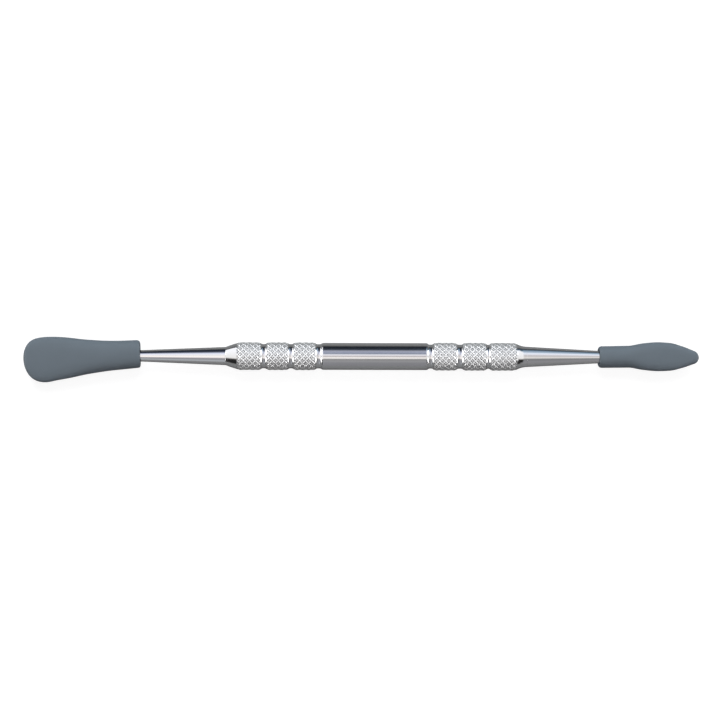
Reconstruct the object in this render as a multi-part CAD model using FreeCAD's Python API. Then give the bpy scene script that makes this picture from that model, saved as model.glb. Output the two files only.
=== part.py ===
import FreeCAD, Part
import math
import os

# Double-ended clay shaper. A turned steel handle with six knurled grip bands carries a tapered steel
# shank pressed into each end, and a silicone tip is slipped over the flat tang of each shank.
# Millimetres. The origin is on the handle's axis at the middle of the plain barrel, +X points to the
# leaf tip, -X to the paddle tip, and +Z is square to the flat faces of both tips.

# Handle: one turned bar. A band rises from its shoulder to its crest over the band round, and each
# neck between bands is a flat-bottomed groove with a fillet up to the shoulder on both sides.
BARREL_RADIUS = 3.48
BARREL_HALF_LENGTH = 13.65
BARREL_CHAMFER = 0.3
BAND_RADIUS = 3.63
BAND_ROUND = 0.8
SHOULDER_RADIUS = 3.4
LEFT_NECK_RADIUS = 3.13
RIGHT_NECK_RADIUS = 3.1
NECK_FILLET = 0.4
LEFT_BANDS = [(-35.4, -29.4), (-27.9, -22.4), (-20.9, -15.3)]
RIGHT_BANDS = [(15.2, 21.1), (22.85, 28.75), (29.85, 36.5)]
HANDLE_LEFT_END = -38.5
HANDLE_RIGHT_END = 39.3
# How far each flare is hollow (positive) or full (negative) half way along.
LEFT_FLARE_SAG = -0.05
RIGHT_FLARE_SAG = 0.17

# Shanks: a spigot pressed into the handle, a taper, then a flat tang inside the silicone.
SPIGOT_RADIUS = 1.5
SPIGOT_LENGTH = 12.0
SOCKET_SPARE = 0.5
SPIGOT_CHAMFER = 0.3
PADDLE_SHANK_RADII = (2.36, 1.48)
LEAF_SHANK_RADII = (2.63, 1.62)
TANG_NECK = 3.0
TANG_ROOT = 0.5
TANG_STEP = 0.04
# Tang sections: depth from the mouth, half width, half thickness.
PADDLE_TANG = [(9.0, 1.85, 0.7), (20.0, 1.85, 0.6), (23.0, 1.4, 0.5)]
LEAF_TANG = [(8.5, 1.6, 0.75), (15.0, 1.55, 0.6), (20.5, 0.8, 0.45)]

# Silicone tips. Sizes are half widths and half thicknesses against depth from the mouth. The width
# holds its last value while the round end closes it, from round_from to the full length, and sway
# moves the section sideways. The cavity narrows away from the mouth, so that a tip can be drawn off.
PADDLE = {
    "mouth": -60.55,
    "length": 30.25,
    "width": [(0, 3.6), (7, 3.85), (13, 4.4), (19, 5.33), (22, 5.68), (24.5, 5.88), (30.25, 5.88)],
    "thickness": [(0, 2.35), (8, 2.35), (16, 1.95), (24, 1.45), (30.25, 1.0)],
    "squareness": [(0, 2.3), (10, 2.3), (20, 2.6), (30.25, 2.6)],
    "sway": [(0, 0), (5, -0.07), (16, 0), (21, 0.02), (25, -0.14), (30.25, 0.2)],
    "round_from": 23.5,
    "round_power": 3.1,
    "edge_round": 1.1,
    "lip": (0.8, 0.42),
    "cavity": [(0, 2.66, 1.72, 0.66), (4, 2.36, 1.7, 0.34), (9, 2.05, 0.95, 0), (23.3, 2.0, 0.65, 0)],
    "tilt_deg": 3.4,
}
LEAF = {
    "mouth": 57.8,
    "length": 25.93,
    "width": [(0, 2.82), (7.7, 2.85), (11.3, 3.43), (15.3, 3.76), (18.4, 3.62), (21.5, 2.87), (24.7, 1.7),
              (25.93, 1.25)],
    "thickness": [(0, 2.2), (7, 2.2), (12, 1.9), (18, 1.4), (25.93, 0.9)],
    "squareness": [(0, 2.1), (7, 2.15), (13, 2.8), (22, 2.8), (25.93, 2.3)],
    "sway": [(0, 0), (4, 0.06), (11, 0.15), (16, 0.14), (21, 0.07), (25.93, -0.06)],
    "round_from": 24.7,
    "round_power": 2.6,
    "edge_round": 0.9,
    "lip": (0.45, 0.27),
    "cavity": [(0, 1.78, 1.74, 0), (4, 1.78, 1.7, 0), (8.5, 1.75, 0.95, 0), (20.8, 1.7, 0.62, 0)],
    "tilt_deg": 0.0,
}
TILT_DEPTH = 9.0
# Each mouth is cut a little aslant, so that its upper edge is further from the handle.
MOUTH_SLANT = 0.12
SLANT_FADE = 6.0
MOUTH_CLEARANCE = 0.9

# Roundness of the flat tang and cavity sections: 2 is an ellipse, and a larger number is squarer.
TANG_SQUARENESS = 3.0
SECTION_POINTS = 28

OUTPUT_FOLDER = "parts"


def revolve_about_x(edges):
    """Solid of revolution about the X axis from the edges of a closed outline in the XY plane."""
    face = Part.Face(Part.Wire(Part.__sortEdges__(edges)))
    return face.revolve(FreeCAD.Vector(0, 0, 0), FreeCAD.Vector(1, 0, 0), 360)


def line(start, end):
    return Part.LineSegment(FreeCAD.Vector(*start, 0), FreeCAD.Vector(*end, 0)).toShape()


def arc(start, middle, end):
    points = [FreeCAD.Vector(*point, 0) for point in (start, middle, end)]
    return Part.Arc(*points).toShape()


def easing_edge(slanted, level):
    """Arc from a slanted start to an end where it is level, either side of that end's height."""
    run = abs(level[0] - slanted[0])
    rise = level[1] - slanted[1]
    radius = (run**2 + rise**2) / (2 * rise)
    middle_x = (slanted[0] + level[0]) / 2
    drop = abs(radius) - math.sqrt(radius**2 - (run / 2) ** 2)
    return arc(slanted, (middle_x, level[1] - math.copysign(drop, rise)), level)


def neck_edges(start, end, depth_radius):
    """Flat-bottomed groove between two shoulders, with a fillet at each side."""
    floor_start = (start[0] + NECK_FILLET, depth_radius)
    floor_end = (end[0] - NECK_FILLET, depth_radius)
    return [easing_edge(start, floor_start), line(floor_start, floor_end), easing_edge(end, floor_end)]


def band_edges(band):
    """Crest and the two rounded ends of one grip band."""
    start, end = band
    crest_start = (start + BAND_ROUND, BAND_RADIUS)
    crest_end = (end - BAND_ROUND, BAND_RADIUS)
    return [
        easing_edge((start, SHOULDER_RADIUS), crest_start),
        line(crest_start, crest_end),
        easing_edge((end, SHOULDER_RADIUS), crest_end),
    ]


def flare_edge(start, end, sag):
    """Curve from the outer band down to the shank, hollow where the sag is positive."""
    middle = ((start[0] + end[0]) / 2, (start[1] + end[1]) / 2 - sag)
    return arc(start, middle, end)


def handle_outline():
    """Turned outline from the left end to the right end: flare, bands and necks, barrel, and back."""
    left_edge = (LEFT_BANDS[0][0], SHOULDER_RADIUS)
    right_edge = (RIGHT_BANDS[-1][1], SHOULDER_RADIUS)
    edges = [flare_edge((HANDLE_LEFT_END, PADDLE_SHANK_RADII[0]), left_edge, LEFT_FLARE_SAG)]
    for band in LEFT_BANDS + RIGHT_BANDS:
        edges += band_edges(band)
    for bands, depth_radius in ((LEFT_BANDS, LEFT_NECK_RADIUS), (RIGHT_BANDS, RIGHT_NECK_RADIUS)):
        for before, after in zip(bands, bands[1:]):
            edges += neck_edges((before[1], SHOULDER_RADIUS), (after[0], SHOULDER_RADIUS), depth_radius)
    barrel_feet = [(-BARREL_HALF_LENGTH, SHOULDER_RADIUS), (BARREL_HALF_LENGTH, SHOULDER_RADIUS)]
    edges += neck_edges((LEFT_BANDS[-1][1], SHOULDER_RADIUS), barrel_feet[0], LEFT_NECK_RADIUS)
    edges += neck_edges(barrel_feet[1], (RIGHT_BANDS[0][0], SHOULDER_RADIUS), RIGHT_NECK_RADIUS)
    plain_end = BARREL_HALF_LENGTH - BARREL_CHAMFER
    barrel = [barrel_feet[0], (-plain_end, BARREL_RADIUS), (plain_end, BARREL_RADIUS), barrel_feet[1]]
    edges += [line(a, b) for a, b in zip(barrel, barrel[1:])]
    edges.append(flare_edge(right_edge, (HANDLE_RIGHT_END, LEAF_SHANK_RADII[0]), RIGHT_FLARE_SAG))
    return edges


def knurled_handle():
    """Turned bar with a blind socket in each end."""
    left_bottom = HANDLE_LEFT_END + SPIGOT_LENGTH + SOCKET_SPARE
    right_bottom = HANDLE_RIGHT_END - SPIGOT_LENGTH - SOCKET_SPARE
    edges = handle_outline()
    corners = [
        (HANDLE_LEFT_END, PADDLE_SHANK_RADII[0]),
        (HANDLE_LEFT_END, SPIGOT_RADIUS),
        (left_bottom, SPIGOT_RADIUS),
        (left_bottom, 0),
        (right_bottom, 0),
        (right_bottom, SPIGOT_RADIUS),
        (HANDLE_RIGHT_END, SPIGOT_RADIUS),
        (HANDLE_RIGHT_END, LEAF_SHANK_RADII[0]),
    ]
    edges += [line(a, b) for a, b in zip(corners, corners[1:])]
    return revolve_about_x(edges)


def flat_section(x, half_width, half_thickness, squareness, centre_y=0.0, slant=0.0):
    """Closed smooth outline across the X axis, between an ellipse and a rectangle in form."""
    power = 2.0 / squareness
    points = []
    for step in range(SECTION_POINTS):
        angle = 2 * math.pi * step / SECTION_POINTS
        across = math.copysign(abs(math.cos(angle)) ** power, math.cos(angle))
        up = half_thickness * math.copysign(abs(math.sin(angle)) ** power, math.sin(angle))
        points.append(FreeCAD.Vector(x + slant * up, centre_y + half_width * across, up))
    curve = Part.BSplineCurve()
    curve.interpolate(Points=points, PeriodicFlag=True)
    return Part.Wire(curve.toShape())


def round_section(x, radius):
    return flat_section(x, radius, radius, 2.0)


def shank(seam, mouth, radii, tang):
    """Spigot, taper and flat tang. A positive direction runs from the handle out through the mouth."""
    direction = 1 if mouth > seam else -1
    spigot_end = seam - direction * SPIGOT_LENGTH
    neck_end = mouth + direction * TANG_NECK
    slope = (radii[0] - radii[1]) / abs(mouth - seam)
    neck_radius = radii[1] - slope * TANG_NECK
    corners = [
        (spigot_end, 0),
        (spigot_end, SPIGOT_RADIUS - SPIGOT_CHAMFER),
        (spigot_end + direction * SPIGOT_CHAMFER, SPIGOT_RADIUS),
        (seam, SPIGOT_RADIUS),
        (seam, radii[0]),
        (neck_end, neck_radius),
        (neck_end, 0),
        (spigot_end, 0),
    ]
    turned = revolve_about_x([line(a, b) for a, b in zip(corners, corners[1:])])
    sections = [round_section(neck_end - direction * TANG_ROOT, neck_radius - TANG_STEP)]
    for depth, half_width, half_thickness in tang:
        x = mouth + direction * depth
        sections.append(flat_section(x, half_width, half_thickness, TANG_SQUARENESS))
    blade = Part.makeLoft(sections, True, True)
    return turned.fuse(blade)


def smooth_law(points):
    """Smooth curve of a size against depth through a few points, with no overshoot between them."""
    xs = [p[0] for p in points]
    ys = [p[1] for p in points]
    steps = [(y1 - y0) / (x1 - x0) for x0, x1, y0, y1 in zip(xs, xs[1:], ys, ys[1:])]
    slopes = [steps[0]]
    for before, after in zip(steps, steps[1:]):
        same_way = before * after > 0
        slopes.append(2 * before * after / (before + after) if same_way else 0.0)
    slopes.append(steps[-1])

    def size_at(x):
        x = min(max(x, xs[0]), xs[-1])
        k = 0
        while k < len(xs) - 2 and x > xs[k + 1]:
            k += 1
        width = xs[k + 1] - xs[k]
        t = (x - xs[k]) / width
        start = ys[k] * (1 + 2 * t) * (1 - t) ** 2 + slopes[k] * width * t * (1 - t) ** 2
        end = ys[k + 1] * t * t * (3 - 2 * t) + slopes[k + 1] * width * t * t * (t - 1)
        return start + end

    return size_at


def end_round(depth, start, length, power):
    """1 up to the start of the rounded end, then down to 0 at the tip."""
    share = min(max((depth - start) / (length - start), 0.0), 1.0)
    return math.sqrt(max(1 - share**power, 0.0))


def lip_inset(depth, lip):
    """How far the lip's rounded outer corner is inside the full outline at a depth from the mouth."""
    reach, inset = lip
    share = max(1 - depth / reach, 0.0)
    return inset * (1 - math.sqrt(1 - share**2))


def tip_depths(form):
    """Section depths: close together round the lip, even along the tip, and closer round its end."""
    reach = form["lip"][0]
    body_end = form["round_from"]
    run = form["length"] - body_end
    lip = [reach * (1 - math.cos(math.pi / 2 * step / 3)) for step in range(4)]
    even = [reach + (body_end - reach) * step / 12 for step in range(1, 13)]
    round_off = [body_end + run * math.sin(math.pi / 2 * step / 7) for step in range(1, 8)]
    return lip + even + round_off


def silicone_tip(form, direction):
    """Moulded sleeve: a lofted outer form with a lip round its slanted mouth, hollowed for the tang."""
    width_at = smooth_law(form["width"])
    thickness_at = smooth_law(form["thickness"])
    squareness_at = smooth_law(form["squareness"])
    sway_at = smooth_law(form["sway"])
    length = form["length"]
    least_width = 0.1 * width_at(length)
    least_thickness = 0.35 * thickness_at(length)
    sections = []
    for depth in tip_depths(form):
        inset = lip_inset(depth, form["lip"])
        closing = end_round(depth, form["round_from"], length, form["round_power"])
        thinning = end_round(depth, length - form["edge_round"], length, 2.0)
        half_width = max(width_at(depth) * closing, least_width) - inset
        half_thickness = max(thickness_at(depth) * thinning, least_thickness) - inset
        slant = direction * MOUTH_SLANT * max(1 - depth / SLANT_FADE, 0.0)
        x = form["mouth"] + direction * depth
        sections.append(
            flat_section(x, half_width, half_thickness, squareness_at(depth), sway_at(depth), slant)
        )
    outside = Part.makeLoft(sections, True, False)
    pivot = FreeCAD.Vector(form["mouth"] + direction * TILT_DEPTH, 0, 0)
    outside.rotate(pivot, FreeCAD.Vector(0, 0, 1), form["tilt_deg"])
    hollow_rows = [(-MOUTH_CLEARANCE, *form["cavity"][0][1:])] + form["cavity"]
    hollow_sections = []
    for depth, half_width, half_thickness, offset in hollow_rows:
        x = form["mouth"] + direction * depth
        hollow_sections.append(flat_section(x, half_width, half_thickness, TANG_SQUARENESS, offset))
    hollow = Part.makeLoft(hollow_sections, True, True)
    return outside.cut(hollow)


def main():
    os.makedirs(OUTPUT_FOLDER, exist_ok=True)
    nodes = {
        "knurled_handle": knurled_handle(),
        "paddle_shank": shank(HANDLE_LEFT_END, PADDLE["mouth"], PADDLE_SHANK_RADII, PADDLE_TANG),
        "leaf_shank": shank(HANDLE_RIGHT_END, LEAF["mouth"], LEAF_SHANK_RADII, LEAF_TANG),
        "paddle_tip": silicone_tip(PADDLE, -1),
        "leaf_tip": silicone_tip(LEAF, 1),
    }
    for name, shape in nodes.items():
        shape.exportStep(os.path.join(OUTPUT_FOLDER, name + ".step"))
        print(name, "solids", len(shape.Solids), "valid", shape.isValid(), "mm3", round(shape.Volume, 2))


main()
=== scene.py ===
import math

import bpy
import numpy as np
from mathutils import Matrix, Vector, noise


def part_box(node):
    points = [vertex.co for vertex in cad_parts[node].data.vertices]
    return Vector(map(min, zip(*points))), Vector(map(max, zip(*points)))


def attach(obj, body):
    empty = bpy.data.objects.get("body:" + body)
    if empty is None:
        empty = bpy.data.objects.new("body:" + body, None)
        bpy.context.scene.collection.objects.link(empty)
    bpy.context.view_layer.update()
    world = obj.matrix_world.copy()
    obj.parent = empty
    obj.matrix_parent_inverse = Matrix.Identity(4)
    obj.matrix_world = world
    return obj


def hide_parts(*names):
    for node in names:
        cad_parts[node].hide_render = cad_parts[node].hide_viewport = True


# Looks of the double-ended clay shaper: a turned handle with diamond-knurled bands, two polished
# shanks with flat tangs, and two matte silicone tips. Metres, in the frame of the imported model:
# +X runs to the leaf tip, -X to the paddle tip, +Z is square to the flat faces of the tips.

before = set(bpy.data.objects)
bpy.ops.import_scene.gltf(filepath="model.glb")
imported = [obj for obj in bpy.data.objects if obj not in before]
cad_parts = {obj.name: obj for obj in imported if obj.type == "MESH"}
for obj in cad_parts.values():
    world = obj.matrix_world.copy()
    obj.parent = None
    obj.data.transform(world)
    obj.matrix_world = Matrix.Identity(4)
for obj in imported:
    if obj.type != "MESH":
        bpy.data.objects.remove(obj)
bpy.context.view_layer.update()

MM = 0.001

HANDLE_LOW, HANDLE_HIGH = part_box("knurled_handle")
PADDLE_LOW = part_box("paddle_tip")[0]
LEAF_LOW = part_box("leaf_tip")[0]
PADDLE_SHANK_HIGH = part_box("paddle_shank")[1]
LEAF_SHANK_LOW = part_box("leaf_shank")[0]
FLOOR_Z = min(corner.z for corner in (HANDLE_LOW, PADDLE_LOW, LEAF_LOW))

# Handle: a plain barrel, three grip bands on each side with necks between them, and two flares.
BARREL_RADIUS = 3.48 * MM
BARREL_HALF_LENGTH = 13.65 * MM
BARREL_CHAMFER = 0.3 * MM
BAND_RADIUS = HANDLE_HIGH.z
BAND_ROUND = 0.8 * MM
SHOULDER_RADIUS = 3.4 * MM
LEFT_NECK_RADIUS = 3.13 * MM
RIGHT_NECK_RADIUS = 3.1 * MM
NECK_FILLET = 0.4 * MM
NECK_HOLLOW = 0.12 * MM
NECK_STEPS = 18
LEFT_BANDS = [(-35.4 * MM, -29.4 * MM), (-27.9 * MM, -22.4 * MM), (-20.9 * MM, -15.3 * MM)]
RIGHT_BANDS = [(15.2 * MM, 21.1 * MM), (22.85 * MM, 28.75 * MM), (29.85 * MM, 36.5 * MM)]
LEFT_FLARE_SAG = -0.05 * MM
RIGHT_FLARE_SAG = 0.17 * MM
FLARE_STEPS = 10

# A corner is held by points this far from it, or this share of the way to its neighbour.
EDGE_HOLD = 0.035 * MM
EDGE_SHARE = 0.2

# Knurl: two sets of crossing ridges, with every other ridge a little lower. It fades out at the
# edges of a band, and its crests are unevenly worn. KNURL_STEPS is the mesh points from one ridge
# to the next.
KNURL_STARTS = 26
KNURL_AXIAL_PITCH = 0.776 * MM
KNURL_DEPTH = 0.3 * MM
KNURL_FADE = 0.2 * MM
KNURL_WEAR = 0.05 * MM
WEAR_WAVE = 0.9 * MM
LOW_RIDGE = 0.75
KNURL_STEPS = 8
HANDLE_COLUMNS = KNURL_STARTS * KNURL_STEPS

# Finish of the knurl: rougher than the turned steel, and partly matte from its many tiny facets.
# Its colour carries painted shade in the pits and a painted highlight on the crests, as (height,
# brightness). The plain steel has PLAIN_HEIGHT, where the brightness is 1.
KNURL_DULLNESS = 0.12
KNURL_FROST = 0.45
PLAIN_HEIGHT = 0.62
KNURL_PAINTED_SHADE_AND_HIGHLIGHT = [(0, 0.22), (0.35, 0.48), (PLAIN_HEIGHT, 1.0), (0.75, 1.2), (1, 1.42)]

# Shanks: a spigot pressed into the handle, a round taper with its radii at the seam and at the
# mouth of the tip, and a flat tang that starts TANG_NECK inside the mouth. SPIGOT_CENTRE is the
# radius of the small ring that closes a round end face.
SPIGOT_RADIUS = 1.5 * MM
SPIGOT_CHAMFER = 0.3 * MM
SPIGOT_CENTRE = SPIGOT_RADIUS * 0.05
SOCKET_SPARE = 0.5 * MM
PADDLE_SHANK_RADII = (2.36 * MM, 1.48 * MM)
LEAF_SHANK_RADII = (2.63 * MM, 1.62 * MM)
SEAM_BREAK = 0.008 * MM
SHANK_COLUMNS = 128
TANG_NECK = 3.0 * MM
TANG_STEPS = 40
TANG_END_LENGTH = 0.12 * MM
TANG_END_INSET = (0.25 * MM, 0.2 * MM)

# Tang sizes: (depth from the mouth, half width, half thickness).
PADDLE_TANG = [
    (9 * MM, 1.85 * MM, 0.7 * MM), (20 * MM, 1.85 * MM, 0.6 * MM), (23 * MM, 1.4 * MM, 0.5 * MM),
]
LEAF_TANG = [
    (8.5 * MM, 1.6 * MM, 0.75 * MM), (15 * MM, 1.55 * MM, 0.6 * MM), (20.5 * MM, 0.8 * MM, 0.45 * MM),
]

# Silicone tips. The paddle tip sits a little askew, turned about a point TILT_DEPTH inside it.
PADDLE_MOUTH = -60.55 * MM
PADDLE_TILT = math.radians(3.4)
TILT_DEPTH = 9.0 * MM
LEAF_MOUTH = 57.8 * MM
TIP_COLUMNS = 128
TIP_END_STEPS = 39
TIP_SIDE_STEPS = 90
CAVITY_STEPS = 30
LIP_STEPS = 8
LIP_FACE_STEPS = 6
INNER_LIP_STEPS = 6
INNER_LIP_ROUND = 0.15 * MM
OUTER_LIP_SHARE = 0.6
INNER_LIP_SHARE = 0.3
SLANT_FADE = 6.0 * MM
SURFACE_WAVE_HEIGHT = 0.018 * MM
SURFACE_WAVE_LENGTH = 5.0 * MM

# Squareness of a cross-section: 2 is an ellipse, and more is nearer to a rectangle.
ELLIPSE = 2.0
CAVITY_SQUARENESS = 3.0

# Tip sizes along the depth from the mouth. "width" and "thickness" are half sizes, and "sway" moves
# the middle sideways. The end rounds off in width from "round_from", with the sharpness
# "round_power", and in thickness over the last "edge_round". "lip" is the radius of the mouth's
# outer edge, and "slant" is how far the mouth leans towards the far end for each unit up.
# "cavity" is (depth, half width, half thickness, sideways shift).
PADDLE_FORM = {
    "length": 30.25 * MM,
    "width": [(0, 3.60 * MM), (7 * MM, 3.85 * MM), (13 * MM, 4.40 * MM), (19 * MM, 5.33 * MM),
              (22 * MM, 5.68 * MM), (24.5 * MM, 5.88 * MM), (30.25 * MM, 5.88 * MM)],
    "thickness": [(0, 2.35 * MM), (8 * MM, 2.35 * MM), (16 * MM, 1.95 * MM), (24 * MM, 1.45 * MM),
                  (30.25 * MM, 1.0 * MM)],
    "squareness": [(0, 2.3), (10 * MM, 2.3), (20 * MM, 2.6), (30.25 * MM, 2.6)],
    "sway": [(0, 0), (5 * MM, -0.07 * MM), (16 * MM, 0), (21 * MM, 0.02 * MM), (25 * MM, -0.14 * MM),
             (30.25 * MM, 0.2 * MM)],
    "round_from": 23.5 * MM,
    "round_power": 3.1,
    "edge_round": 1.1 * MM,
    "lip": 0.8 * MM,
    "slant": 0.0,
    "cavity": [(0, 2.66 * MM, 1.72 * MM, 0.66 * MM), (4 * MM, 2.36 * MM, 1.7 * MM, 0.34 * MM),
               (9 * MM, 2.05 * MM, 0.95 * MM, 0), (23.3 * MM, 2.0 * MM, 0.65 * MM, 0)],
}
LEAF_FORM = {
    "length": 25.93 * MM,
    "width": [(0, 2.82 * MM), (7.7 * MM, 2.85 * MM), (11.3 * MM, 3.43 * MM), (15.3 * MM, 3.76 * MM),
              (18.4 * MM, 3.62 * MM), (21.5 * MM, 2.87 * MM), (24.7 * MM, 1.70 * MM),
              (25.93 * MM, 1.25 * MM)],
    "thickness": [(0, 2.2 * MM), (7 * MM, 2.2 * MM), (12 * MM, 1.9 * MM), (18 * MM, 1.4 * MM),
                  (25.93 * MM, 0.9 * MM)],
    "squareness": [(0, 2.1), (7 * MM, 2.15), (13 * MM, 2.8), (22 * MM, 2.8), (25.93 * MM, 2.3)],
    "sway": [(0, 0), (4 * MM, 0.06 * MM), (11 * MM, 0.15 * MM), (16 * MM, 0.14 * MM),
             (21 * MM, 0.07 * MM), (25.93 * MM, -0.06 * MM)],
    "round_from": 24.7 * MM,
    "round_power": 2.6,
    "edge_round": 0.9 * MM,
    "lip": 0.9 * MM,
    "slant": 0.14,
    "cavity": [(0, 1.78 * MM, 1.74 * MM, 0), (4 * MM, 1.78 * MM, 1.7 * MM, 0),
               (8.5 * MM, 1.75 * MM, 0.95 * MM, 0), (20.8 * MM, 1.7 * MM, 0.62 * MM, 0)],
}

# Camera: straight above the tool, a metre away, turned by a hair.
CAMERA_DISTANCE = 1000 * MM
VIEW_WIDTH = 186 * MM
VIEW_CENTRE = (-3.80 * MM, -0.92 * MM)
CAMERA_ROLL = math.radians(0.16)
CAMERA_CLIP = 5 * MM
SENSOR_MM = 36.0


# ---------------------------------------------------------------- curves and meshes

def smooth_law(points):
    """Smooth curve of a size against depth through a few points, with no overshoot between them."""
    xs = [p[0] for p in points]
    ys = [p[1] for p in points]
    steps = [(y1 - y0) / (x1 - x0) for x0, x1, y0, y1 in zip(xs, xs[1:], ys, ys[1:])]
    slopes = [steps[0]]
    for before, after in zip(steps, steps[1:]):
        same_way = before * after > 0
        slopes.append(2 * before * after / (before + after) if same_way else 0.0)
    slopes.append(steps[-1])

    def size_at(x):
        x = min(max(x, xs[0]), xs[-1])
        k = 0
        while k < len(xs) - 2 and x > xs[k + 1]:
            k += 1
        width = xs[k + 1] - xs[k]
        t = (x - xs[k]) / width
        start = ys[k] * (1 + 2 * t) * (1 - t) ** 2 + slopes[k] * width * t * (1 - t) ** 2
        end = ys[k + 1] * t * t * (3 - 2 * t) + slopes[k + 1] * width * t * t * (t - 1)
        return start + end

    return size_at


def ring(x, half_y, half_z, squareness, columns, centre_y=0.0, slant=0.0):
    """Points of one closed cross-section across the X axis."""
    angle = np.arange(columns) * (2 * np.pi / columns)
    power = 2.0 / squareness
    cosine, sine = np.cos(angle), np.sin(angle)
    across = np.sign(cosine) * np.abs(cosine) ** power
    up = half_z * np.sign(sine) * np.abs(sine) ** power
    return np.stack([x + slant * up, centre_y + half_y * across, up], axis=1)


def skin(name, rings):
    """Closed mesh over a row of rings, each capped to a point in the middle of the first and last."""
    count = len(rings)
    columns = len(rings[0])
    points = np.concatenate(rings + [rings[0].mean(0)[None], rings[-1].mean(0)[None]])
    row = np.arange(columns)
    after = (row + 1) % columns
    faces = []
    for k in range(count - 1):
        low, high = k * columns, (k + 1) * columns
        faces += np.stack([low + row, low + after, high + after, high + row], axis=1).tolist()
    first, last = count * columns, count * columns + 1
    end = (count - 1) * columns
    faces += np.stack([after, row, np.full(columns, first)], axis=1).tolist()
    faces += np.stack([end + row, end + after, np.full(columns, last)], axis=1).tolist()
    mesh = bpy.data.meshes.new(name)
    mesh.from_pydata(points.tolist(), [], faces)
    mesh.validate()
    if signed_volume(mesh) < 0:
        mesh.flip_normals()
    mesh.shade_smooth()
    piece = bpy.data.objects.new(name, mesh)
    bpy.context.scene.collection.objects.link(piece)
    return piece


def signed_volume(mesh):
    """Volume inside the mesh, negative when its faces point inwards."""
    mesh.calc_loop_triangles()
    corners = np.array([t.vertices[:] for t in mesh.loop_triangles])
    points = np.array([v.co[:] for v in mesh.vertices])
    a, b, c = (points[corners[:, i]] for i in range(3))
    return float(np.einsum("ij,ij->i", a, np.cross(b, c)).sum() / 6)


def held_path(points):
    """Outline with two close points on each side of a corner, which shades as a crisp small radius."""
    path = [points[0]]
    for before, corner, after in zip(points, points[1:], points[2:]):
        for other, reach in ((before, 2), (before, 1), (after, 1), (after, 2)):
            gap = math.dist(corner, other)
            share = reach * min(EDGE_HOLD, gap * EDGE_SHARE) / gap
            path.append(tuple(c + (o - c) * share for c, o in zip(corner, other)))
    path.append(points[-1])
    return path


# ---------------------------------------------------------------- handle

def shoulder_radius(inset):
    """Radius of a band's rounded end at a distance in from its edge."""
    rise = BAND_RADIUS - SHOULDER_RADIUS
    arc_radius = (BAND_ROUND**2 + rise**2) / (2 * rise)
    short = max(BAND_ROUND - inset, 0.0)
    return BAND_RADIUS - arc_radius + math.sqrt(arc_radius**2 - short**2)


def neck_points(start, end, depth_radius):
    """Groove between two shoulders: a fillet at each side of a slightly hollow floor."""
    rise = SHOULDER_RADIUS - depth_radius
    arc_radius = (NECK_FILLET**2 + rise**2) / (2 * rise)
    points = []
    for step in range(1, NECK_STEPS):
        share = 0.5 - 0.5 * math.cos(math.pi * step / NECK_STEPS)
        run = (end - start) * share
        short = max(NECK_FILLET - min(run, end - start - run), 0.0)
        lift = arc_radius - math.sqrt(arc_radius**2 - short**2)
        hollow = NECK_HOLLOW * (2 * share - 1) ** 2
        points.append((start + run, depth_radius + hollow + lift * (1 - NECK_HOLLOW / rise)))
    return points


def band_points(band):
    """Turned outline of one grip band, close enough together to carry the knurl."""
    start, end = band
    rows = round((end - start) / KNURL_AXIAL_PITCH * KNURL_STEPS)
    points = []
    for step in range(rows + 1):
        x = start + (end - start) * step / rows
        points.append((x, shoulder_radius(min(x - start, end - x))))
    return points


def flare_points(start, end, sag):
    """Flare between a band's edge and the shank seam, slightly bulged or hollow."""
    points = []
    for step in range(1, FLARE_STEPS):
        t = step / FLARE_STEPS
        x = start[0] + (end[0] - start[0]) * t
        radius = start[1] + (end[1] - start[1]) * t - 4 * sag * t * (1 - t)
        points.append((x, radius))
    return points


def handle_outline():
    """(x, radius) along the outside of the bar, from the left seam to the right seam."""
    left_seam = (HANDLE_LOW.x, PADDLE_SHANK_RADII[0])
    right_seam = (HANDLE_HIGH.x, LEAF_SHANK_RADII[0])
    left_edge = (LEFT_BANDS[0][0], SHOULDER_RADIUS)
    right_edge = (RIGHT_BANDS[-1][1], SHOULDER_RADIUS)
    outline = [left_seam] + flare_points(left_seam, left_edge, LEFT_FLARE_SAG)
    for band, following in zip(LEFT_BANDS, LEFT_BANDS[1:] + [(-BARREL_HALF_LENGTH, 0)]):
        outline += band_points(band) + neck_points(band[1], following[0], LEFT_NECK_RADIUS)
    right_side = []
    previous = BARREL_HALF_LENGTH
    for band in RIGHT_BANDS:
        right_side += neck_points(previous, band[0], RIGHT_NECK_RADIUS) + band_points(band)
        previous = band[1]
    right_side += flare_points(right_edge, right_seam, RIGHT_FLARE_SAG) + [right_seam]
    chamfer_x = BARREL_HALF_LENGTH - BARREL_CHAMFER
    barrel = [
        outline[-1],
        (-BARREL_HALF_LENGTH, SHOULDER_RADIUS),
        (-chamfer_x, BARREL_RADIUS),
        (chamfer_x, BARREL_RADIUS),
        (BARREL_HALF_LENGTH, SHOULDER_RADIUS),
        right_side[0],
    ]
    return outline + held_path(barrel)[1:-1] + right_side


def ridge(value):
    """1 on each ridge line, at whole numbers, falling to 0 half way between; odd ridges are lower."""
    nearest = np.round(value)
    height = 1 - 2 * np.abs(value - nearest)
    crest = np.where(nearest.astype(int) % 2 == 0, 1.0, LOW_RIDGE)
    return height * crest


def knurl_height(x, angle):
    """From 0 in the pits to 1 on the crossing ridges."""
    along = x / KNURL_AXIAL_PITCH
    around = angle * KNURL_STARTS / (2 * np.pi)
    return np.maximum(ridge(along + around), ridge(along - around))


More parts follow.
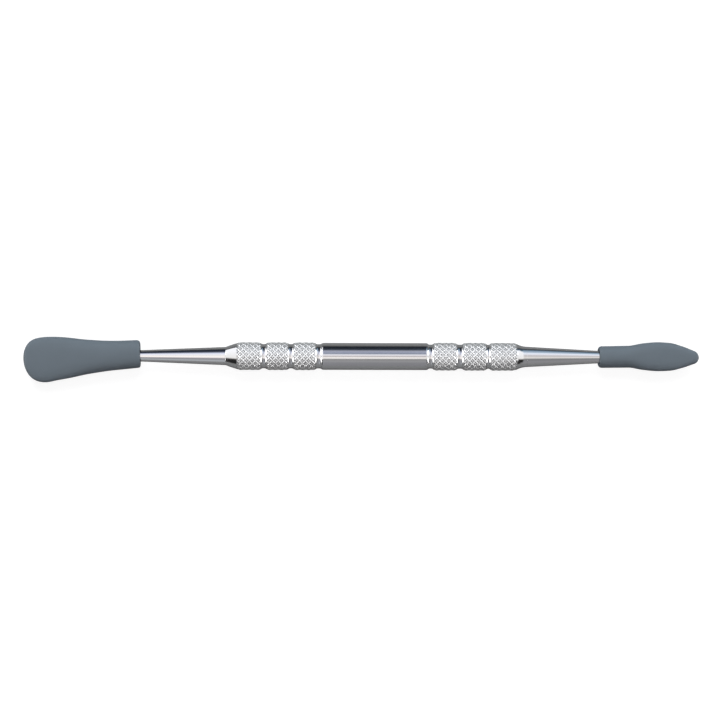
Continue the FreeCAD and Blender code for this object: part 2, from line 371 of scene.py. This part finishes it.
def socket_points(flare_end, seam, inward, depth):
    """Edge of the end face and the blind socket behind it, from the outside to the bottom."""
    seam_x, seam_radius = seam
    corners = [
        flare_end,
        (seam_x + inward * SEAM_BREAK, seam_radius),
        (seam_x, seam_radius - SEAM_BREAK),
        (seam_x, SPIGOT_RADIUS),
        (seam_x + inward * depth, SPIGOT_RADIUS),
        (seam_x + inward * depth, SPIGOT_CENTRE),
    ]
    return held_path(corners)[1:]


def turned_handle():
    """The whole bar as one closed skin, with the knurl cut into its bands."""
    left_depth = PADDLE_SHANK_HIGH.x - HANDLE_LOW.x + SOCKET_SPARE
    right_depth = HANDLE_HIGH.x - LEAF_SHANK_LOW.x + SOCKET_SPARE
    outline = handle_outline()
    left_socket = socket_points(outline[1], outline[0], 1, left_depth)
    right_socket = socket_points(outline[-2], outline[-1], -1, right_depth)
    path = left_socket[::-1] + outline[1:-1] + right_socket
    bands = LEFT_BANDS + RIGHT_BANDS
    angle = np.arange(HANDLE_COLUMNS) * (2 * np.pi / HANDLE_COLUMNS)
    rings, crest, share = [], [], []
    for x, radius in path:
        radii = np.full(HANDLE_COLUMNS, radius)
        height = np.full(HANDLE_COLUMNS, PLAIN_HEIGHT)
        inside = [b for b in bands if b[0] <= x <= b[1]]
        if inside:
            height = knurl_height(x - inside[0][0], angle)
            wear = np.array([noise.noise(Vector((x, a * radius, 0)) / WEAR_WAVE) for a in angle])
            fade = min((x - inside[0][0]) / KNURL_FADE, (inside[0][1] - x) / KNURL_FADE, 1.0)
            radii = radii - fade * (KNURL_DEPTH * (1 - height) + KNURL_WEAR * (1 + wear) / 2)
        along = np.full(HANDLE_COLUMNS, x)
        rings.append(np.stack([along, radii * np.cos(angle), radii * np.sin(angle)], axis=1))
        crest.append(height)
        share.append(np.full(HANDLE_COLUMNS, float(len(inside) > 0)))
    piece = skin("turned_handle", rings)
    store_numbers(piece.data, "ridge_height", np.concatenate(crest + [np.full(2, PLAIN_HEIGHT)]))
    store_numbers(piece.data, "knurl_share", np.concatenate(share + [np.zeros(2)]))
    return piece


def store_numbers(mesh, name, values):
    """Keeps one number for each point of the mesh, for its material to read."""
    attribute = mesh.attributes.new(name, "FLOAT", "POINT")
    attribute.data.foreach_set("value", values.astype(np.float32))


# ---------------------------------------------------------------- shanks

def shank_piece(name, seam, mouth, radii, tang, spigot_end):
    """Spigot, polished taper and flat tang as one closed skin."""
    direction = 1 if mouth > seam else -1
    slope = (radii[0] - radii[1]) / abs(mouth - seam)
    neck_x = mouth + direction * TANG_NECK
    neck_radius = radii[1] - slope * TANG_NECK
    corners = [
        (spigot_end, SPIGOT_CENTRE),
        (spigot_end, SPIGOT_RADIUS - SPIGOT_CHAMFER),
        (spigot_end + direction * SPIGOT_CHAMFER, SPIGOT_RADIUS),
        (seam, SPIGOT_RADIUS),
        (seam, radii[0] - SEAM_BREAK),
        (seam + direction * SEAM_BREAK, radii[0]),
        (mouth, radii[1]),
        (neck_x, neck_radius),
    ]
    rings = [ring(x, r, r, ELLIPSE, SHANK_COLUMNS) for x, r in held_path(corners)]
    width_law = smooth_law([(TANG_NECK, neck_radius)] + [(d, w) for d, w, _ in tang])
    thick_law = smooth_law([(TANG_NECK, neck_radius)] + [(d, t) for d, _, t in tang])
    full_depth = tang[-1][0]
    flat_from = tang[0][0]
    for step in range(1, TANG_STEPS + 1):
        depth = TANG_NECK + (full_depth - TANG_NECK) * math.sin(math.pi / 2 * step / TANG_STEPS)
        flatness = min((depth - TANG_NECK) / (flat_from - TANG_NECK), 1.0)
        x = mouth + direction * depth
        half_y, half_z = width_law(depth), thick_law(depth)
        rings.append(ring(x, half_y, half_z, ELLIPSE + flatness, SHANK_COLUMNS))
    inset_y, inset_z = TANG_END_INSET
    end_x = x + direction * TANG_END_LENGTH
    rings.append(ring(end_x, half_y - inset_y, half_z - inset_z, ELLIPSE + 1, SHANK_COLUMNS))
    return skin(name, rings)


# ---------------------------------------------------------------- silicone tips

def end_round(depth, start, length, power):
    """1 up to the start of the rounded end, then down to 0 at the tip."""
    share = min(max((depth - start) / (length - start), 0.0), 1.0)
    return math.sqrt(max(1 - share**power, 0.0))


def lip_rings(outside, inside, direction, outer_round):
    """Rings across the lip: a rounded outer corner, a flat face, and a small inner corner."""
    wall = inside - outside
    width = np.linalg.norm(wall, axis=1)[:, None]
    across = wall / width
    outer_reach = np.minimum(outer_round, OUTER_LIP_SHARE * width)
    inner_reach = np.minimum(INNER_LIP_ROUND, INNER_LIP_SHARE * width)
    toward_mouth = np.array([[-direction, 0.0, 0.0]])
    rings = []
    for step in range(1, LIP_STEPS + 1):
        angle = math.pi / 2 * step / LIP_STEPS
        shift = across * outer_reach * (1 - math.cos(angle))
        rings.append(outside + shift + toward_mouth * outer_round * math.sin(angle))
    start = rings[-1]
    end = inside - across * inner_reach + toward_mouth * outer_round
    for step in range(1, LIP_FACE_STEPS):
        rings.append(start + (end - start) * step / LIP_FACE_STEPS)
    for step in range(INNER_LIP_STEPS):
        angle = math.pi / 2 * step / INNER_LIP_STEPS
        shift = across * inner_reach * math.sin(angle)
        lower = INNER_LIP_ROUND * (1 - math.cos(angle))
        rings.append(end + shift - toward_mouth * lower)
    return rings


def tip_piece(name, mouth, direction, form, tilt):
    """Silicone sleeve: outside from its far end to the mouth, round the lip, and down the cavity."""
    length = form["length"]
    width_law = smooth_law(form["width"])
    thick_law = smooth_law(form["thickness"])
    square_law = smooth_law(form["squareness"])
    sway_law = smooth_law(form["sway"])
    pivot = np.array([mouth + direction * TILT_DEPTH, 0.0, 0.0])
    turn = np.array([
        [math.cos(tilt), -math.sin(tilt), 0.0],
        [math.sin(tilt), math.cos(tilt), 0.0],
        [0.0, 0.0, 1.0],
    ])

    def slant_at(depth):
        return direction * form["slant"] * max(1 - depth / SLANT_FADE, 0.0)

    def outer_ring(depth):
        half_y = width_law(depth) * end_round(depth, form["round_from"], length, form["round_power"])
        half_z = thick_law(depth) * end_round(depth, length - form["edge_round"], length, ELLIPSE)
        x = mouth + direction * depth
        square, sway = square_law(depth), sway_law(depth)
        points = ring(x, half_y, half_z, square, TIP_COLUMNS, sway, slant_at(depth))
        return (points - pivot) @ turn.T + pivot

    def inner_ring(depth):
        depths, *sizes = zip(*form["cavity"])
        half_y, half_z, sway = (np.interp(depth, depths, size) for size in sizes)
        x = mouth + direction * depth
        return ring(x, half_y, half_z, CAVITY_SQUARENESS, TIP_COLUMNS, sway, slant_at(depth))

    round_from, lip, bottom = form["round_from"], form["lip"], form["cavity"][-1][0]
    rings = []
    for step in range(1, TIP_END_STEPS + 1):
        share = 1 - math.cos(math.pi / 2 * step / TIP_END_STEPS)
        rings.append(outer_ring(length - (length - round_from) * share))
    for step in range(1, TIP_SIDE_STEPS + 1):
        rings.append(outer_ring(round_from + (lip - round_from) * step / TIP_SIDE_STEPS))
    rings += lip_rings(rings[-1], inner_ring(lip), direction, lip)
    for step in range(CAVITY_STEPS + 1):
        share = step / CAVITY_STEPS
        rings.append(inner_ring(INNER_LIP_ROUND + (bottom - INNER_LIP_ROUND) * share))
    piece = skin(name, rings)
    soften_surface(piece.data)
    return piece


def soften_surface(mesh):
    """Shallow unevenness that moulded silicone has, pushed only inwards."""
    normals = [v.normal.copy() for v in mesh.vertices]
    for vertex, normal in zip(mesh.vertices, normals):
        lift = noise.noise(vertex.co / SURFACE_WAVE_LENGTH) - 1
        vertex.co += normal * (lift * SURFACE_WAVE_HEIGHT)


# ---------------------------------------------------------------- materials

# Texture scales are along X, Y and Z, in steps per metre: turning lines are close along the axis.
STEEL_COLOUR = (0.68, 0.68, 0.69)
DULL_STEEL = 0.93
TURNING_LINES = (9000.0, 500.0, 500.0)
STEEL_BLOTCHES = (160.0, 420.0, 420.0)
STEEL_SPECKS = (2600.0, 1500.0, 1500.0)
LINE_SHARE = 0.35
SPECK_SHARE = 0.25
STEEL_BUMP = 0.6
SILICONE_DARK = (0.117, 0.144, 0.172, 1)
SILICONE_LIGHT = (0.138, 0.166, 0.197, 1)
SILICONE_GRAIN = (0.15, 0.178, 0.208, 1)
SILICONE_CLOUDS = (260.0, 260.0, 260.0)
SILICONE_GRAINS = (9000.0, 9000.0, 9000.0)
GRAIN_SHARE = 0.25
GRAIN_DEPTH = 0.012 * MM

# The floor: white to the eye, and three greys that the steel mirrors, from near to far behind.
FLOOR_GLOW = 0.86
CHALK = (0.30, 0.30, 0.31, 1)
GREY_CARD = (0.33, 0.33, 0.335)
HALF_CARD = (0.16, 0.16, 0.165)
DARK_CARD = (0.08, 0.08, 0.085)
CARD_LENGTH = 100 * MM
FLOOR_HALF_SIZE = 1500 * MM


class Tree:
    """Short way to add nodes to a material or world and join them."""

    def __init__(self, owner):
        owner.use_nodes = True
        self.tree = owner.node_tree
        self.tree.nodes.clear()

    def add(self, kind, inputs=None, **settings):
        """New node, with its inputs joined to other nodes' outputs or set to values."""
        node = self.tree.nodes.new(kind)
        for key, value in settings.items():
            setattr(node, key, value)
        for key, value in (inputs or {}).items():
            socket = node.inputs[key]
            if isinstance(value, bpy.types.NodeSocket):
                self.tree.links.new(value, socket)
            else:
                socket.default_value = value
        return node

    def math(self, operation, first, second=0.0, third=0.0):
        """Result of one sum on up to three numbers."""
        inputs = {0: first, 1: second, 2: third}
        return self.add("ShaderNodeMath", inputs, operation=operation).outputs[0]

    def ramp(self, factor, stops):
        """Colour ramp from (position, colour) stops."""
        node = self.add("ShaderNodeValToRGB", {0: factor})
        elements = node.color_ramp.elements
        elements[0].position, elements[0].color = stops[0][0], (*stops[0][1], 1)
        elements[1].position, elements[1].color = stops[-1][0], (*stops[-1][1], 1)
        for position, colour in stops[1:-1]:
            elements.new(position).color = (*colour, 1)
        return node.outputs[0]

    def mix(self, factor, first, second, blend="MIX"):
        """Mix of two colours."""
        node = self.add("ShaderNodeMix", data_type="RGBA", blend_type=blend)
        for index, value in ((0, factor), (6, first), (7, second)):
            if isinstance(value, bpy.types.NodeSocket):
                self.tree.links.new(value, node.inputs[index])
            else:
                node.inputs[index].default_value = value
        return node.outputs[2]

    def noise(self, scales, detail, rough=0.5):
        """Cloudy pattern over the surface, with its own scale along each axis."""
        place = self.add("ShaderNodeTexCoord").outputs["Object"]
        place = self.add("ShaderNodeMapping", {"Vector": place, "Scale": scales}).outputs[0]
        inputs = {"Vector": place, "Scale": 1.0, "Detail": detail, "Roughness": rough}
        return self.add("ShaderNodeTexNoise", inputs).outputs[0]

    def between(self, value, low, high):
        """A 0 to 1 value spread over another range."""
        return self.add("ShaderNodeMapRange", {0: value, 3: low, 4: high}).outputs[0]


def steel(name, rough_low, rough_high, line_depth, knurled):
    """Bright stainless steel with fine turning lines round the axis and a little wear. On the knurl,
    its colour has painted shade in the pits and a painted highlight on the crests.
    """
    material = bpy.data.materials.new(name)
    t = Tree(material)
    lines = t.noise(TURNING_LINES, 4.0, 0.6)
    blotches = t.noise(STEEL_BLOTCHES, 4.0, 0.6)
    specks = t.noise(STEEL_SPECKS, 2.0)
    rough = t.math("MULTIPLY_ADD", lines, LINE_SHARE, t.math("MULTIPLY", blotches, 1 - LINE_SHARE))
    dull = [c * DULL_STEEL for c in STEEL_COLOUR]
    tint = t.mix(t.between(blotches, 0.0, 1.0), (*dull, 1), (*STEEL_COLOUR, 1))
    height = t.math("MULTIPLY_ADD", specks, SPECK_SHARE, lines)
    roughness = t.between(rough, rough_low, rough_high)
    metallic = 1.0
    if knurled:
        # Painted shade and highlight: the ridge height darkens the knurl's pits and lightens its
        # crests.
        ridge_height = t.add("ShaderNodeAttribute", attribute_name="ridge_height").outputs["Fac"]
        painted_shade_and_highlight = t.ramp(ridge_height, [(place, (value,) * 3) for place, value in KNURL_PAINTED_SHADE_AND_HIGHLIGHT])
        tint = t.mix(1.0, tint, painted_shade_and_highlight, "MULTIPLY")
        knurl_share = t.add("ShaderNodeAttribute", attribute_name="knurl_share").outputs["Fac"]
        roughness = t.math("MULTIPLY_ADD", knurl_share, KNURL_DULLNESS, roughness)
        metallic = t.math("MULTIPLY_ADD", knurl_share, -KNURL_FROST, 1.0)
    bump = t.add("ShaderNodeBump", {"Height": height, "Strength": STEEL_BUMP, "Distance": line_depth})
    shader = t.add("ShaderNodeBsdfPrincipled", {
        "Base Color": tint,
        "Metallic": metallic,
        "Roughness": roughness,
        "Normal": bump.outputs[0],
    })
    t.add("ShaderNodeOutputMaterial", {0: shader.outputs[0]})
    return material


def silicone():
    """Matte grey moulded silicone with a fine even grain and faint cloudiness."""
    material = bpy.data.materials.new("matte_silicone")
    t = Tree(material)
    cloud = t.noise(SILICONE_CLOUDS, 5.0, 0.6)
    grain = t.noise(SILICONE_GRAINS, 2.0)
    tint = t.mix(t.between(cloud, 0.0, 1.0), SILICONE_DARK, SILICONE_LIGHT)
    tint = t.mix(t.math("MULTIPLY", grain, GRAIN_SHARE), tint, SILICONE_GRAIN)
    bump = t.add("ShaderNodeBump", {"Height": grain, "Strength": 0.5, "Distance": GRAIN_DEPTH})
    shader = t.add("ShaderNodeBsdfPrincipled", {
        "Base Color": tint,
        "Roughness": t.between(cloud, 0.5, 0.66),
        "Specular IOR Level": 0.25,
        "Normal": bump.outputs[0],
    })
    t.add("ShaderNodeOutputMaterial", {0: shader.outputs[0]})
    return material


def pale_floor():
    """White to the eye. The steel mirrors it as mid grey, and as darker grey from 16 mm behind."""
    material = bpy.data.materials.new("pale_floor")
    t = Tree(material)
    seen = t.add("ShaderNodeLightPath").outputs["Is Camera Ray"]
    white = t.add("ShaderNodeEmission", {"Color": (1, 1, 1, 1), "Strength": FLOOR_GLOW})
    chalk = t.add("ShaderNodeBsdfDiffuse", {"Color": CHALK})
    lit = t.add("ShaderNodeAddShader", {0: white.outputs[0], 1: chalk.outputs[0]})
    place = t.add("ShaderNodeTexCoord").outputs["Object"]
    behind = t.add("ShaderNodeSeparateXYZ", {0: place}).outputs[1]
    cards = [(0.16, GREY_CARD), (0.3, HALF_CARD), (0.7, DARK_CARD)]
    card = t.ramp(t.math("MULTIPLY", behind, 1 / CARD_LENGTH), cards)
    grey = t.add("ShaderNodeBsdfDiffuse", {"Color": card})
    both = t.add("ShaderNodeMixShader", {0: seen, 1: grey.outputs[0], 2: lit.outputs[0]})
    t.add("ShaderNodeOutputMaterial", {0: both.outputs[0]})
    return material


# ---------------------------------------------------------------- light, floor and camera

# The studio round the tool, as colour against the angle from straight up in degrees: positive
# angles lean to +Y and negative ones to -Y. Seen from above, the barrel mirrors the middle strip,
# the shanks mirror the left and right ones, and the flares mirror the left far strip and the right
# flare strip. The right far strip lies beyond that one. The end strips are the large lamps past
# both ends, which light the knurl.
MIDDLE_SKY = [
    (-180, (0.30, 0.30, 0.30)), (-128, (0.28, 0.28, 0.29)), (-60, (0.32, 0.32, 0.34)),
    (-42, (0.44, 0.44, 0.45)), (-23, (0.34, 0.34, 0.34)), (-19, (1.20, 1.17, 1.12)),
    (-7, (1.36, 1.30, 1.26)), (-3, (0.66, 0.61, 0.61)), (2, (0.66, 0.62, 0.63)),
    (6, (1.12, 1.08, 1.12)), (17, (1.10, 1.12, 1.22)), (20, (0.32, 0.36, 0.45)),
    (27, (0.32, 0.37, 0.49)), (34, (0.42, 0.46, 0.60)), (48, (0.48, 0.50, 0.61)),
    (55, (0.17, 0.19, 0.24)), (61, (0.05, 0.06, 0.08)), (70, (0.02, 0.025, 0.035)),
    (90, (0.015, 0.02, 0.03)), (110, (0.20, 0.20, 0.20)), (180, (0.30, 0.30, 0.30)),
]
LEFT_SKY = [
    (-180, (0.28, 0.28, 0.28)), (-100, (0.29, 0.29, 0.29)), (-84, (0.36, 0.36, 0.37)),
    (-64, (0.62, 0.66, 0.69)), (-46, (0.41, 0.41, 0.44)), (-34, (0.46, 0.45, 0.48)),
    (-27, (0.60, 0.56, 0.57)), (-21, (1.35, 1.27, 1.27)), (-10, (1.50, 1.42, 1.36)),
    (6, (1.30, 1.26, 1.24)), (26, (1.25, 1.27, 1.42)), (38, (1.00, 1.05, 1.27)),
    (46, (0.38, 0.41, 0.53)), (54, (0.24, 0.26, 0.33)), (60, (0.04, 0.05, 0.08)),
    (90, (0.02, 0.025, 0.04)), (110, (0.20, 0.20, 0.20)), (180, (0.28, 0.28, 0.28)),
]
RIGHT_SKY = [
    (-180, (0.28, 0.28, 0.28)), (-90, (0.32, 0.32, 0.32)), (-56, (0.36, 0.36, 0.38)),
    (-38, (0.30, 0.30, 0.31)), (-22, (0.36, 0.36, 0.36)), (-15, (1.12, 1.08, 1.04)),
    (-6, (1.08, 1.04, 1.00)), (4, (0.88, 0.84, 0.83)), (16, (0.80, 0.77, 0.78)),
    (22, (1.00, 1.00, 1.08)), (32, (1.20, 1.22, 1.32)), (45, (1.10, 1.22, 1.38)),
    (54, (0.56, 0.69, 0.86)), (66, (0.46, 0.59, 0.75)), (74, (0.30, 0.42, 0.54)),
    (82, (0.12, 0.18, 0.24)), (95, (0.10, 0.13, 0.16)), (110, (0.20, 0.20, 0.20)),
    (180, (0.28, 0.28, 0.28)),
]
LEFT_FAR_SKY = [
    (-180, (0.25, 0.25, 0.25)), (-86, (0.30, 0.30, 0.30)), (-78, (0.02, 0.02, 0.02)),
    (-34, (0.02, 0.02, 0.02)), (-26, (0.70, 0.68, 0.66)), (-18, (1.25, 1.23, 1.21)),
    (60, (1.45, 1.47, 1.51)), (92, (1.45, 1.47, 1.53)), (99, (0.40, 0.40, 0.42)),
    (180, (0.25, 0.25, 0.25)),
]
RIGHT_FLARE_SKY = [
    (-180, (0.25, 0.25, 0.25)), (-70, (0.30, 0.30, 0.30)), (-62, (0.02, 0.02, 0.02)),
    (-34, (0.02, 0.02, 0.02)), (-26, (0.70, 0.68, 0.66)), (-18, (1.25, 1.23, 1.21)),
    (52, (1.42, 1.44, 1.48)), (62, (0.90, 1.00, 1.15)), (70, (0.04, 0.10, 0.15)),
    (92, (0.04, 0.10, 0.15)), (102, (0.30, 0.30, 0.32)), (180, (0.25, 0.25, 0.25)),
]
RIGHT_FAR_SKY = [
    (-180, (0.25, 0.25, 0.25)), (-86, (0.30, 0.30, 0.30)), (-78, (0.02, 0.02, 0.02)),
    (-34, (0.02, 0.02, 0.02)), (-26, (0.70, 0.68, 0.66)), (-18, (1.25, 1.23, 1.21)),
    (66, (1.42, 1.44, 1.48)), (74, (0.90, 1.00, 1.15)), (82, (0.04, 0.10, 0.15)),
    (98, (0.04, 0.10, 0.15)), (106, (0.60, 0.62, 0.65)), (180, (0.30, 0.30, 0.30)),
]
END_SKY = [
    (-180, (0.25, 0.25, 0.25)), (-95, (0.25, 0.25, 0.25)), (-84, (8.00, 7.90, 7.80)),
    (-44, (9.00, 8.90, 8.80)), (-22, (1.10, 1.08, 1.06)), (18, (1.10, 1.12, 1.16)),
    (44, (7.00, 7.10, 7.25)), (72, (9.50, 9.60, 9.75)), (98, (9.50, 9.60, 9.75)),
    (105, (0.50, 0.50, 0.50)), (180, (0.25, 0.25, 0.25)),
]

# Where each strip begins and where it is full, as the lengthwise part of the direction.
STRIPS = [
    (LEFT_SKY, -0.03, -0.08), (RIGHT_SKY, 0.04, 0.10), (RIGHT_FLARE_SKY, 0.36, 0.46),
    (LEFT_FAR_SKY, -0.28, -0.38), (RIGHT_FAR_SKY, 0.50, 0.58),
    (END_SKY, -0.74, -0.84), (END_SKY, 0.74, 0.84),
]

# Soft lamps for the silicone and the matte share of the knurl, which polished steel doesn't mirror:
# (name, direction towards the lamp, strength, colour).
LAMPS = [
    ("key", (0.0, 0.77, 0.64), 2.75, (0.95, 1.0, 1.0)),
    ("fill", (0.0, -0.6, 0.8), 0.5, (1.0, 0.95, 0.92)),
    ("top", (0.0, 0.0, 1.0), 0.6, (1.0, 0.98, 0.97)),
]
LAMP_SPREAD = math.radians(50)


def sky_stops(sky):
    """Ramp stops from a strip: its angles run from 0 to 1."""
    return [((angle + 180) / 360, colour) for angle, colour in sky]


def light_the_studio():
    """The mirrored strips as the world, plain white to the eye, and the soft lamps."""
    world = bpy.data.worlds.new("studio")
    bpy.context.scene.world = world
    t = Tree(world)
    direction = t.add("ShaderNodeTexCoord").outputs["Generated"]
    parts = t.add("ShaderNodeSeparateXYZ", {0: direction}).outputs
    lean = t.math("ARCTAN2", parts[1], parts[2])
    place = t.add("ShaderNodeMapRange", {0: lean, 1: -math.pi, 2: math.pi}).outputs[0]
    sky = t.ramp(place, sky_stops(MIDDLE_SKY))
    for strip, start, full in STRIPS:
        share = t.add("ShaderNodeMapRange", {0: parts[0], 1: start, 2: full}).outputs[0]
        sky = t.mix(share, sky, t.ramp(place, sky_stops(strip)))
    lit = t.add("ShaderNodeBackground", {"Color": sky, "Strength": 1.0})
    plain = t.add("ShaderNodeBackground", {"Color": (1, 1, 1, 1), "Strength": 1.0})
    seen = t.add("ShaderNodeLightPath").outputs["Is Camera Ray"]
    both = t.add("ShaderNodeMixShader", {0: seen, 1: lit.outputs[0], 2: plain.outputs[0]})
    t.add("ShaderNodeOutputWorld", {0: both.outputs[0]})
    world.cycles_visibility.diffuse = False
    for name, towards, strength, colour in LAMPS:
        lamp = bpy.data.lights.new(name, "SUN")
        lamp.energy = strength
        lamp.color = colour
        lamp.angle = LAMP_SPREAD
        holder = bpy.data.objects.new(name, lamp)
        holder.rotation_euler = Vector(towards).to_track_quat("Z", "Y").to_euler()
        holder.visible_glossy = False
        bpy.context.scene.collection.objects.link(holder)


def lay_the_floor():
    """Flat floor that the tool lies on."""
    size = FLOOR_HALF_SIZE
    mesh = bpy.data.meshes.new("floor")
    corners = [(-size, -size), (size, -size), (size, size), (-size, size)]
    mesh.from_pydata([(x, y, FLOOR_Z) for x, y in corners], [], [(0, 1, 2, 3)])
    floor = bpy.data.objects.new("floor", mesh)
    bpy.context.scene.collection.objects.link(floor)
    floor.data.materials.append(pale_floor())


def place_camera():
    """Camera over the middle of the view, looking straight down."""
    camera = bpy.data.objects.new("camera", bpy.data.cameras.new("camera"))
    bpy.context.scene.collection.objects.link(camera)
    camera.location = (*VIEW_CENTRE, CAMERA_DISTANCE)
    camera.rotation_euler = (0, 0, CAMERA_ROLL)
    camera.data.sensor_width = SENSOR_MM
    camera.data.lens = SENSOR_MM * CAMERA_DISTANCE / VIEW_WIDTH
    camera.data.clip_start = CAMERA_CLIP
    bpy.context.scene.camera = camera
    bpy.context.scene.view_settings.view_transform = "Standard"


# ---------------------------------------------------------------- the tool

def dress(piece, body, node, material):
    """Gives a piece its material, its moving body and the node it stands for."""
    piece.data.materials.append(material)
    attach(piece, body)
    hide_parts(node)


def build_tool():
    """The five pieces: handle, two shanks and two tips."""
    handle_steel = steel(
        "handle_steel", rough_low=0.07, rough_high=0.16, line_depth=0.003 * MM, knurled=True
    )
    shank_steel = steel(
        "shank_steel", rough_low=0.06, rough_high=0.14, line_depth=0.002 * MM, knurled=False
    )
    rubber = silicone()
    dress(turned_handle(), "handle", "knurled_handle", handle_steel)
    paddle_shank = shank_piece(
        "paddle_shank_steel", HANDLE_LOW.x, PADDLE_MOUTH, PADDLE_SHANK_RADII, PADDLE_TANG,
        PADDLE_SHANK_HIGH.x,
    )
    leaf_shank = shank_piece(
        "leaf_shank_steel", HANDLE_HIGH.x, LEAF_MOUTH, LEAF_SHANK_RADII, LEAF_TANG,
        LEAF_SHANK_LOW.x,
    )
    dress(paddle_shank, "handle", "paddle_shank", shank_steel)
    dress(leaf_shank, "handle", "leaf_shank", shank_steel)
    paddle = tip_piece("paddle_silicone", PADDLE_MOUTH, -1, PADDLE_FORM, PADDLE_TILT)
    leaf = tip_piece("leaf_silicone", LEAF_MOUTH, 1, LEAF_FORM, 0.0)
    dress(paddle, "paddle", "paddle_tip", rubber)
    dress(leaf, "leaf", "leaf_tip", rubber)


place_camera()
light_the_studio()
lay_the_floor()
build_tool()
